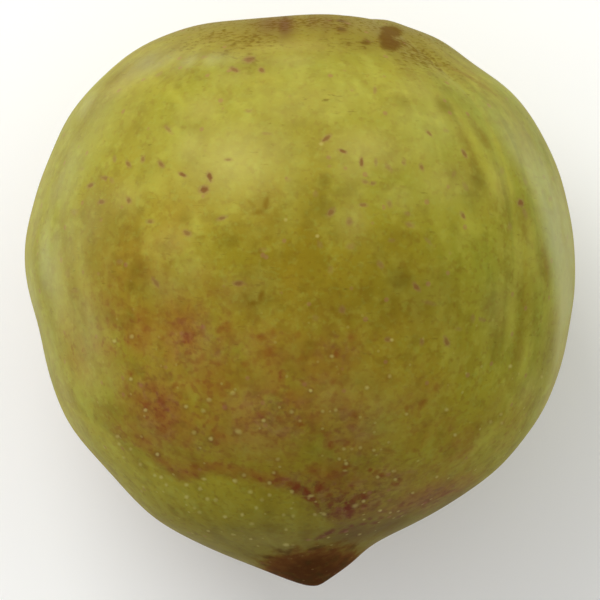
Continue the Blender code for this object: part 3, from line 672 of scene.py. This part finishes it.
# Bloom, the fruit's dusty wax, is rubbed off the cheek and stays on the two sides. Its pale tint along the
# outline and on the upper shoulder is partly painted sheen, the grazing reflection of the bright surroundings.
# Past the suture it starts at a line, given as (distance from the scar, degrees round the core).
BLOOM_LINE = np.array([(20, 42), (26, 38), (33, 34), (36, 30), (42, 28), (50, 21), (60, 16)])
degrees_round = np.degrees(angle)
degrees_below = np.where(degrees_round > 180, degrees_round - 360, degrees_round)
past_line = np.interp(from_scar, BLOOM_LINE[:, 0], BLOOM_LINE[:, 1]) - degrees_below
SLIM_BLOOM_EDGE = (-3, 6)      # degrees past the line, over which it sets in, then thins, then ends
SLIM_BLOOM_THINS = (10, 30)
SLIM_BLOOM_LOST = 0.45         # share that the thinning takes
SLIM_BLOOM_ENDS = (40, 110)
SLIM_BLOOM_NEAR_STEM = (20, 42)               # mm from the scar, over which it sets in, and then ends
SLIM_BLOOM_NEAR_TIP = (46, 70)
slim_side_bloom_and_sheen = soft_step(past_line, *SLIM_BLOOM_EDGE) * (1 - soft_step(past_line, *SLIM_BLOOM_ENDS))
slim_side_bloom_and_sheen = slim_side_bloom_and_sheen * (1 - SLIM_BLOOM_LOST * soft_step(past_line, *SLIM_BLOOM_THINS))
slim_side_bloom_and_sheen = slim_side_bloom_and_sheen * soft_step(from_scar, *SLIM_BLOOM_NEAR_STEM)
slim_side_bloom_and_sheen = slim_side_bloom_and_sheen * (1 - soft_step(from_scar, *SLIM_BLOOM_NEAR_TIP))

FULL_BLOOM_EDGE = (150, 169)   # degrees round the core, over which it sets in, and then ends
FULL_BLOOM_ENDS = (210, 250)
FULL_BLOOM_NEAR_STEM = (18, 34)
FULL_BLOOM_NEAR_TIP = (56, 74)
FULL_BLOOM_STRENGTH = 0.35
full_side_bloom_and_sheen = soft_step(degrees_round, *FULL_BLOOM_EDGE)
full_side_bloom_and_sheen = full_side_bloom_and_sheen * (1 - soft_step(degrees_round, *FULL_BLOOM_ENDS))
full_side_bloom_and_sheen = full_side_bloom_and_sheen * soft_step(from_scar, *FULL_BLOOM_NEAR_STEM)
full_side_bloom_and_sheen = full_side_bloom_and_sheen * (1 - soft_step(from_scar, *FULL_BLOOM_NEAR_TIP))
both_sides_bloom_and_sheen = np.maximum(slim_side_bloom_and_sheen, FULL_BLOOM_STRENGTH * full_side_bloom_and_sheen)
SHOULDER_BLOOM_AND_SHEEN = [             # as the ovals above
    (150, 62, 7.0, 1.8, 0.5), (200, 60, 4.5, 0.9, 0.45), (96, 105, 4.0, 5.0, 0.2),
    (86, 103, 1.8, 3.0, 0.65), (66, 137, 1.8, 3.0, 0.35), (62, 180, 3.5, 6.0, 0.45),
    (46, 260, 2.4, 6.0, 0.6), (78, 230, 3.0, 5.0, 0.3), (88, 332, 3.0, 4.0, 0.3), (545, 400, 2.0, 6.0, 0.4),
    (33, 300, 1.6, 7.0, 0.7), (47, 370, 1.8, 6.0, 0.6), (82, 432, 2.0, 4.0, 0.4), (552, 385, 1.6, 6.0, 0.5),
]

shoulder = soft_step(from_scar, *SHOULDER_REACH)
russet_drift = np.maximum(SHOULDER_DRIFT * shoulder, soft_ovals(RUSSET_DRIFTS, RUSSET_DEPTH))

# The dark cap reaches further over the upper side of the tip than round its edge.
CAP_REACH = 5.4
CAP_UPPER_REACH = 3.6
cap_edge = CAP_REACH + CAP_UPPER_REACH * np.maximum(np.sin(angle), 0) ** 2

# Streaks follow the suture, from the shoulder to past the widest part.
STREAKS_HALF_WIDTH = 0.42      # radians
STREAKS_MIDDLE = 38.0          # from the scar
STREAKS_HALF_LENGTH = 26.0
suture_turn = np.arctan2(np.sin(angle - SUTURE_ANGLE), np.cos(angle - SUTURE_ANGLE))
streaks_length = np.exp(-(((from_scar - STREAKS_MIDDLE) / STREAKS_HALF_LENGTH) ** 2))
streaks = np.exp(-((suture_turn / STREAKS_HALF_WIDTH) ** 2)) * streaks_length

# Bands round the core, each as the two distances between which it sets in.
TIP_HALF = (58, 18)            # from the tip
TIP_END = (26, 10)
DULL_SHOULDER = (44, 62)
GREEN_HOLLOW = (8, 3)          # from the scar's middle
SCAR_EDGE = (SCAR_RADIUS + 0.4, SCAR_RADIUS - 0.3)

zones = {
    "blush": blush,
    "wine": np.maximum(soft_ovals(WINE) * (1 - KEPT_FROM_WINE * leaf_shade), soft_patches(WINE_BEHIND)),
    "leaf_shade": np.maximum(leaf_shade, soft_patches(LEAF_SHADE_BEHIND)),
    "blotch_and_shade": soft_ovals(BLOTCHES_AND_SHADE),
    "golden_and_shade": soft_ovals(GOLDEN_AND_SHADE),
    "ripe": soft_ovals(RIPE),
    "green": soft_ovals(GREEN),
    "pale_and_highlight": soft_ovals(PALE_AND_HIGHLIGHT),
    "shoulder": shoulder,
    "russet_drift": russet_drift,
    "russet_patch": np.maximum(soft_ovals(RUSSET_PATCHES, RUSSET_DEPTH), soft_patches(RUSSET_BEHIND)),
    "russet_stain": soft_ovals(RUSSET_STAINS, RUSSET_DEPTH),
    "bloom_and_sheen": np.maximum(both_sides_bloom_and_sheen, soft_ovals(SHOULDER_BLOOM_AND_SHEEN)),
    "streaks": streaks,
    "unseen": 1 - seen,
    "tip_half": soft_step(from_tip, *TIP_HALF),
    "tip_end": soft_step(from_tip, *TIP_END),
    "dull_shoulder": soft_step(from_tip, *DULL_SHOULDER),
    "in_cap": cap_edge - from_tip,
    "stem_hollow": soft_step(from_scar, *GREEN_HOLLOW),
    "stem_scar": soft_step(from_scar, *SCAR_EDGE),
}
for name, values in zones.items():
    keep(name, values)
spots_by_kind = {
    "fleck": FLECKS, "smudge": SMUDGES, "pore": PORES,
    "ridge_highlight": RIDGE_HIGHLIGHTS, "dark_mark_and_hollow_shade": DARK_MARKS_AND_HOLLOW_SHADES,
}
for name, spots in spots_by_kind.items():
    keep_spots(name, spots)

# The ways of the skin: round the core and along it from the scar, so that streaks follow it to the tip.
MEAN_RADIUS = 27.5
keep("grain", np.stack([MEAN_RADIUS * np.cos(angle), MEAN_RADIUS * np.sin(angle), from_scar], axis=-1))


# Waxy plumcot skin: a translucent yellow-green film over wet flesh, under a thin dull wax. It gives the eye a
# soft broad sheen with no sharp glint, partly painted into its colour, colour that deepens where the fruit
# reddened, and dry, matt marks.
skin = bpy.data.materials.new("waxy_plumcot_skin")
skin.use_nodes = True
skin_tree = skin.node_tree
skin_tree.nodes.clear()


def colour(hex_code):
    """Linear RGBA of an sRGB hex value: each channel below 0.04045 is over 12.92, and the rest is a power."""
    channels = np.array([int(hex_code[start:start + 2], 16) / 255 for start in (1, 3, 5)])
    linear = np.where(channels <= 0.04045, channels / 12.92, ((channels + 0.055) / 1.055) ** 2.4)
    return (*linear.tolist(), 1.0)


def add(tree, kind, inputs, **settings):
    """Adds a node with its settings. An input is named or numbered, and is given a value, another node, whose
    first output it takes, or one of a node's outputs."""
    made = tree.nodes.new("ShaderNode" + kind)
    for name, value in settings.items():
        setattr(made, name, value)
    for name, value in inputs.items():
        if isinstance(name, int):
            socket = made.inputs[name]
        else:
            socket = next(each for each in made.inputs if each.name == name and each.enabled)
        if isinstance(value, bpy.types.Node):
            value = next(each for each in value.outputs if each.enabled)
        if isinstance(value, bpy.types.NodeSocket):
            tree.links.new(value, socket)
        else:
            socket.default_value = value
    return made


place_in_m = add(skin_tree, "TexCoord", {}).outputs["Object"]
in_mm = add(skin_tree, "Mapping", {"Vector": place_in_m, "Scale": (1 / MM, 1 / MM, 1 / MM)})
along_grain = add(skin_tree, "Attribute", {}, attribute_name="grain").outputs["Vector"]
drawn_out = add(skin_tree, "VectorMath", {0: along_grain, 1: (1.0, 1.0, 0.6)}, operation="MULTIPLY")
streaky = add(skin_tree, "VectorMath", {0: along_grain, 1: (1.0, 1.0, 0.12)}, operation="MULTIPLY")
round_the_core = add(skin_tree, "VectorMath", {0: along_grain, 1: (0.4, 0.4, 1.3)}, operation="MULTIPLY")
zone = {name: add(skin_tree, "Attribute", {}, attribute_name=name).outputs["Fac"] for name in zones}


def patches(size, low, high, detail=2.0, way=in_mm):
    """Soft patches of a size in mm: noise of that scale, turned to 0 at low and below and to 1 from high
    on."""
    noise = add(skin_tree, "TexNoise", {"Vector": way, "Scale": 1 / size, "Detail": detail})
    return add(
        skin_tree, "MapRange", {"Value": noise, "From Min": low, "From Max": high},
        interpolation_type="SMOOTHSTEP"
    )


def layers(below, *tints):
    """Tints laid one after the other over the colour below, each given as (tint, strength, masks...): its
    share is its strength times its masks."""
    for tint, strength, *masks in tints:
        share = strength
        for mask in masks:
            share = add(skin_tree, "Math", {0: mask, 1: share}, operation="MULTIPLY", use_clamp=True)
        below = add(skin_tree, "Mix", {"Factor": share, "A": below, "B": colour(tint)}, data_type="RGBA")
    return below


RAGGED_GRAIN = 0.35            # of the noise that makes the spots' edges ragged


def spot_mask(name, ragged, soft, reach=1.0):
    """How far inside the nearest placed spot the skin lies: 1 at its middle and 0 outside it. Its stored
    place in half sizes is bent by fine noise, for a ragged edge, and its length is turned round; the edge
    lies at reach and is soft either way. The spot's strength scales it."""
    stored = add(skin_tree, "Attribute", {}, attribute_name=name).outputs["Vector"]
    parts = add(skin_tree, "SeparateXYZ", {"Vector": stored})
    flat = add(skin_tree, "VectorMath", {0: stored, 1: (1, 1, 0)}, operation="MULTIPLY")
    noise = add(skin_tree, "TexNoise", {"Vector": in_mm, "Scale": 1 / RAGGED_GRAIN, "Detail": 2.0})
    noise_colour = noise.outputs["Color"]
    centred = add(skin_tree, "VectorMath", {0: noise_colour, 1: (0.5, 0.5, 0.5)}, operation="SUBTRACT")
    bend = add(skin_tree, "VectorMath", {0: centred, "Scale": ragged}, operation="SCALE")
    bent = add(skin_tree, "VectorMath", {0: flat, 1: bend}, operation="ADD")
    away = add(skin_tree, "VectorMath", {0: bent}, operation="LENGTH").outputs["Value"]
    inside = add(
        skin_tree, "MapRange", {"Value": away, "From Min": reach + soft, "From Max": max(reach - soft, 0.0)},
        interpolation_type="SMOOTHSTEP"
    )
    return add(skin_tree, "Math", {0: inside, 1: parts.outputs["Z"]}, operation="MULTIPLY")


DOT_CORE = 0.45                # share of a dot's radius that has its full strength


def scattered_dots(spacing, radius, kept, way=in_mm):
    """Dots scattered at about a spacing: the skin within a radius of the points of a Voronoi pattern. A share
    of the points is kept, and those off the skin's own level give smaller dots."""
    cells = add(skin_tree, "TexVoronoi", {"Vector": way, "Scale": 1 / spacing})
    dot = add(
        skin_tree, "MapRange",
        {"Value": cells.outputs["Distance"], "From Min": radius / spacing,
         "From Max": DOT_CORE * radius / spacing},
        interpolation_type="SMOOTHSTEP"
    )
    lot = add(skin_tree, "SeparateXYZ", {"Vector": cells.outputs["Color"]})
    chosen = add(skin_tree, "Math", {0: lot.outputs["X"], 1: kept}, operation="LESS_THAN")
    return add(skin_tree, "Math", {0: dot, 1: chosen}, operation="MULTIPLY")


# The ground: yellow-green, in broad drifts of riper and greener skin, clouded and mottled ever finer, with some
# painted highlight, sheen and shade.
painted = layers(
    colour("#938a22"),
    ("#848622", 0.5, patches(11.0, 0.35, 0.65)),
    ("#927420", 0.3, patches(8.0, 0.45, 0.7)),
    ("#936f22", 0.55, zone["ripe"]),
    # golden skin, partly painted shade near the tip and the right edge
    ("#8c7802", 0.4, zone["golden_and_shade"]),
    ("#808c2c", 0.65, zone["green"]),
    ("#a09328", 0.7, zone["leaf_shade"]),
    ("#70580e", 0.38, patches(4.4, 0.46, 0.72, 2.0, drawn_out)),
    ("#aaaa44", 0.36, patches(3.3, 0.48, 0.74, 2.0, drawn_out)),
    ("#6c560e", 0.33, patches(1.7, 0.46, 0.72)),
    ("#aaaa40", 0.32, patches(1.25, 0.5, 0.74)),
    ("#764c14", 0.28, patches(0.65, 0.52, 0.74, 1.0)),
    ("#90983a", 0.28, patches(0.55, 0.52, 0.74, 1.0)),
    ("#8e863c", 0.25, zone["dull_shoulder"]),
    # paler skin, with the painted highlight and the painted sheen along the outline
    ("#cbc270", 0.45, zone["pale_and_highlight"]),
    # darker olive round the stem end, partly painted shade where the top of the fruit turns from the light
    ("#74661c", 0.8, zone["shoulder"]),
    ("#7c6420", 0.4, zone["russet_drift"]),
)

# Streaks beside the suture, paler and darker in turn, painted light and shade of fine ridges and hollows: a
# fine run of them, and the placed strokes.
painted = layers(
    painted,
    ("#a29c30", 0.25, patches(1.7, 0.48, 0.7, 1.0, streaky), zone["streaks"]),
    ("#5e5a10", 0.25, patches(1.3, 0.5, 0.72, 1.0, streaky), zone["streaks"]),
    ("#aaa63c", 0.5, spot_mask("ridge_highlight", 0.5, 0.9)),
    ("#745000", 0.6, spot_mask("dark_mark_and_hollow_shade", 0.7, 0.9)),
)

# The blush: a brown wash, then red-brown mottling, then wine red, as a wash and in small specks.
painted = layers(
    painted,
    ("#925c20", 0.75, patches(4.0, 0.1, 0.6), zone["blush"]),
    ("#8a4a24", 0.45, patches(1.5, 0.42, 0.68, 3.0), zone["blush"]),
    ("#76321c", 0.5, patches(0.75, 0.52, 0.7, 1.0), zone["blush"]),
    ("#5e4c0c", 0.3, patches(2.4, 0.5, 0.68), zone["blush"]),
    ("#7c5038", 0.35, zone["wine"]),
    ("#96685a", 0.35, patches(1.3, 0.5, 0.7), zone["wine"]),
    ("#6a2a1e", 0.65, patches(0.95, 0.46, 0.64, 3.0), zone["wine"]),
    ("#5a1e20", 0.5, patches(0.45, 0.52, 0.66), zone["wine"]),
    ("#5c4a0e", 0.5, zone["tip_end"]),
)

# Marks on the skin: blotches, which are partly painted shade, smudges, and flecks. The faint flecks are all
# over, and on the hidden side more of the strong ones are scattered.
painted = layers(painted, ("#584204", 0.85, zone["blotch_and_shade"]))
smudge = spot_mask("smudge", 1.3, 0.8)
painted = layers(
    painted,
    ("#7a2c12", 0.65, smudge),
    ("#4e181a", 0.68, smudge, zone["tip_end"]),
)
fleck = spot_mask("fleck", 0.9, 0.75, 1.12)
strong_fleck = add(skin_tree, "MapRange", {"Value": fleck, "From Min": 0.55, "From Max": 1.0})
painted = layers(
    painted,
    ("#886044", 0.66, fleck),
    ("#683e0e", 0.7, strong_fleck),
    ("#96604c", 0.4, scattered_dots(2.1, 0.38, 0.5)),
    ("#6e3a20", 0.6, scattered_dots(5.0, 0.42, 0.6), zone["unseen"]),
)

# Russet, a dry brown net over the shoulder, drawn out round the core, and solid in a few patches.
NET_GRAIN = 0.5
NET_DRIFT = 0.34               # how much a full drift adds to the net's noise
NET_EDGE = (0.62, 0.92)        # of the two together, over which the net sets in
PATCH_GRAIN = 0.9
PATCH_RAGGED = 0.7             # how much the noise adds to a patch
PATCH_EDGE = (0.66, 1.2)       # of the two together, over which a patch sets in
net_noise = add(skin_tree, "TexNoise", {"Vector": round_the_core, "Scale": 1 / NET_GRAIN, "Detail": 3.0})
net_sum = add(
    skin_tree, "Math", {0: zone["russet_drift"], 1: NET_DRIFT, 2: net_noise}, operation="MULTIPLY_ADD"
)
net = add(
    skin_tree, "MapRange", {"Value": net_sum, "From Min": NET_EDGE[0], "From Max": NET_EDGE[1]},
    interpolation_type="SMOOTHSTEP"
)
patch_noise = add(skin_tree, "TexNoise", {"Vector": in_mm, "Scale": 1 / PATCH_GRAIN, "Detail": 3.0})
patch_sum = add(
    skin_tree, "Math", {0: patch_noise, 1: PATCH_RAGGED, 2: zone["russet_patch"]}, operation="MULTIPLY_ADD"
)
russet_patch = add(
    skin_tree, "MapRange", {"Value": patch_sum, "From Min": PATCH_EDGE[0], "From Max": PATCH_EDGE[1]},
    interpolation_type="SMOOTHSTEP"
)
painted = layers(
    painted,
    ("#624a16", 0.66, net),
    ("#62441a", 0.7, zone["russet_stain"]),
    ("#5a3c10", 0.8, russet_patch),
)
russet = add(skin_tree, "Math", {0: net, 1: russet_patch}, operation="MAXIMUM")

# Pores, pale and slightly raised, and ringed with red in the blush. Fine ones crowd towards the tip, and on
# the hidden side scattered ones stand for the placed.
fine_pores = add(
    skin_tree, "Math", {0: scattered_dots(1.5, 0.22, 0.6), 1: zone["tip_half"]}, operation="MULTIPLY"
)
painted = layers(
    painted,
    ("#b4ac60", 0.4, fine_pores),
    ("#5e2c1c", 0.35, spot_mask("pore", 0.6, 0.7, 1.5), zone["blush"]),
)
pore = spot_mask("pore", 0.4, 0.5, 0.65)
painted = layers(
    painted,
    ("#bcb064", 0.64, pore),
    ("#b4ac60", 0.5, scattered_dots(2.4, 0.3, 0.7), zone["tip_half"], zone["unseen"]),
)

# The dark cap of the tip, with a ragged edge that is redder than its middle.
CAP_GRAIN = 1.2
CAP_RAGGED = 5.0               # how far its edge wanders
CAP_EDGE = (-2.0, 1.2)         # depth inside the cap, over which it sets in, and then its middle
CAP_MIDDLE = (0.0, 4.0)
cap_noise = add(skin_tree, "TexNoise", {"Vector": in_mm, "Scale": 1 / CAP_GRAIN, "Detail": 5.0})
cap_shift = add(
    skin_tree, "Math", {0: cap_noise, 1: CAP_RAGGED, 2: -CAP_RAGGED / 2}, operation="MULTIPLY_ADD"
)
cap_depth = add(skin_tree, "Math", {0: zone["in_cap"], 1: cap_shift}, operation="ADD")
cap = add(
    skin_tree, "MapRange", {"Value": cap_depth, "From Min": CAP_EDGE[0], "From Max": CAP_EDGE[1]},
    interpolation_type="SMOOTHSTEP"
)
cap_middle = add(
    skin_tree, "MapRange", {"Value": cap_depth, "From Min": CAP_MIDDLE[0], "From Max": CAP_MIDDLE[1]},
    interpolation_type="SMOOTHSTEP"
)
painted = layers(
    painted,
    ("#623216", 0.85, cap),
    ("#4a280a", 0.9, cap_middle),
    ("#6a4a1c", 0.4, cap, patches(0.9, 0.5, 0.7, 3.0)),
    ("#3c300c", 0.5, cap, patches(1.7, 0.48, 0.66, 3.0)),
    ("#8a6c40", 0.4, cap, scattered_dots(1.1, 0.2, 0.5)),
)

# Bloom with painted sheen along the outline, drawn a little along the skin.
bloom_drift = patches(3.5, 0.0, 0.6, 1.0, drawn_out)
bloom_and_sheen = add(skin_tree, "Math", {0: zone["bloom_and_sheen"], 1: bloom_drift}, operation="MULTIPLY")
painted = layers(painted, ("#bcbc90", 0.5, bloom_and_sheen))

# The stem scar: a small dry disc of wood, darker at its rim, in greener skin.
painted = layers(
    painted,
    ("#7e7a26", 0.5, zone["stem_hollow"]),
    ("#5a3c20", 0.95, zone["stem_scar"]),
    ("#8a6a42", 0.6, zone["stem_scar"], patches(0.5, 0.4, 0.7, 3.0)),
)

# The fine relief: its full height, and the share of it that each mark rises or, below zero, sinks.
FINE_RELIEF = 0.05 * MM
FLECK_RISE = -0.5
PORE_RISE = 0.8
FINE_PORE_RISE = 0.5
GRAIN_RISE = 0.2
RUSSET_RISE = 0.8
pits = add(skin_tree, "Math", {0: fleck, 1: FLECK_RISE}, operation="MULTIPLY")
bumps = add(skin_tree, "Math", {0: pore, 1: PORE_RISE, 2: pits}, operation="MULTIPLY_ADD")
fine_bumps = add(skin_tree, "Math", {0: fine_pores, 1: FINE_PORE_RISE, 2: bumps}, operation="MULTIPLY_ADD")
skin_grain = patches(0.6, 0.3, 0.7)
grainy = add(skin_tree, "Math", {0: skin_grain, 1: GRAIN_RISE, 2: fine_bumps}, operation="MULTIPLY_ADD")
height = add(skin_tree, "Math", {0: russet, 1: RUSSET_RISE, 2: grainy}, operation="MULTIPLY_ADD")
raised = add(skin_tree, "Bump", {"Height": height, "Distance": FINE_RELIEF, "Strength": 0.8})

# Waxy skin has a soft gloss; russet, scar, cap and bloom are dry.
WAXY_ROUGHNESS = 0.48
DRY_ROUGHNESS = 0.85
dry = add(skin_tree, "Math", {0: russet, 1: zone["stem_scar"]}, operation="MAXIMUM")
dry = add(skin_tree, "Math", {0: dry, 1: cap}, operation="MAXIMUM")
dry = add(skin_tree, "Math", {0: dry, 1: bloom_and_sheen}, operation="MAXIMUM")
roughness = add(skin_tree, "MapRange", {"Value": dry, "To Min": WAXY_ROUGHNESS, "To Max": DRY_ROUGHNESS})
shader = add(
    skin_tree, "BsdfPrincipled",
    {"Base Color": painted, "Roughness": roughness, "Normal": raised, "IOR": 1.4, "Specular IOR Level": 0.05,
     "Subsurface Weight": 0.12, "Subsurface Radius": (1.0, 0.45, 0.12), "Subsurface Scale": 1.5 * MM}
)
add(skin_tree, "OutputMaterial", {"Surface": shader})

mesh.materials.append(skin)
fruit = bpy.data.objects.new("plumcot_fruit", mesh)
bpy.context.scene.collection.objects.link(fruit)
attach(fruit, "root")
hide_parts("plumcot")


# The studio floor: a sheet of matt white acrylic, wide enough that its edge is in no view.
FLOOR_HALF = 900.0
floor_corners = np.array([(-1, -1, 0), (1, -1, 0), (1, 1, 0), (-1, 1, 0)]) * FLOOR_HALF * MM
floor_mesh = bpy.data.meshes.new("studio_floor")
floor_mesh.from_pydata(floor_corners.tolist(), [], [(0, 1, 2, 3)])
acrylic = bpy.data.materials.new("matt_white_acrylic")
acrylic.use_nodes = True
acrylic.node_tree.nodes.clear()
acrylic_shader = add(
    acrylic.node_tree, "BsdfPrincipled",
    {"Base Color": colour("#fafaf8"), "Roughness": 0.8, "IOR": 1.49, "Specular IOR Level": 0.2}
)
add(acrylic.node_tree, "OutputMaterial", {"Surface": acrylic_shader})
floor_mesh.materials.append(acrylic)
floor = bpy.data.objects.new("studio_floor", floor_mesh)
bpy.context.scene.collection.objects.link(floor)


# The light: a large soft box beyond the stem end and to the left, inside a white tent that is dimmer
# overhead, where the camera looks in, and dimmest on the tip's side.
SOFT_BOX_WAY = np.array([-0.36, 0.60, 0.71])
SOFT_BOX_DISTANCE = 520.0
SOFT_BOX_SIDE = 300.0
SOFT_BOX_POWER = 1.4
STEM_SIDE_LIGHT = 1.4          # of the tent's walls
TIP_SIDE_LIGHT = 0.32
OVERHEAD_LIGHT = 0.62

box_data = bpy.data.lights.new("soft_box", "AREA")
box_data.shape = "SQUARE"
box_data.size = SOFT_BOX_SIDE * MM
box_data.energy = SOFT_BOX_POWER
soft_box = bpy.data.objects.new("soft_box", box_data)
way_to_box = SOFT_BOX_WAY / np.linalg.norm(SOFT_BOX_WAY)
soft_box.location = way_to_box * SOFT_BOX_DISTANCE * MM + np.array([0, 0, OUTLINE_HEIGHT * MM])
soft_box.rotation_euler = (
    math.acos(way_to_box[2]), 0.0, math.atan2(way_to_box[1], way_to_box[0]) + math.pi / 2
)
bpy.context.scene.collection.objects.link(soft_box)

WALL_SHARE = (-0.7, 0.3)       # of a way towards the stem end, over which the walls grow lighter
ROOF_SHARE = (0.5, 0.9)        # of a way upwards, over which they give way to the overhead light
room = bpy.data.worlds.new("white_tent")
room.use_nodes = True
room_tree = room.node_tree
room_tree.nodes.clear()
sky_way = add(room_tree, "SeparateXYZ", {"Vector": add(room_tree, "TexCoord", {}).outputs["Generated"]})
walls = add(
    room_tree, "MapRange",
    {"Value": sky_way.outputs["Y"], "From Min": WALL_SHARE[0], "From Max": WALL_SHARE[1],
     "To Min": TIP_SIDE_LIGHT, "To Max": STEM_SIDE_LIGHT},
    interpolation_type="SMOOTHSTEP"
)
tent = add(
    room_tree, "MapRange",
    {"Value": sky_way.outputs["Z"], "From Min": ROOF_SHARE[0], "From Max": ROOF_SHARE[1],
     "To Min": walls, "To Max": OVERHEAD_LIGHT},
    interpolation_type="SMOOTHSTEP"
)
background = add(room_tree, "Background", {"Color": colour("#ffffff"), "Strength": tent})
add(room_tree, "OutputWorld", {"Surface": background})
bpy.context.scene.world = room
bpy.context.scene.view_settings.view_transform = "Standard"
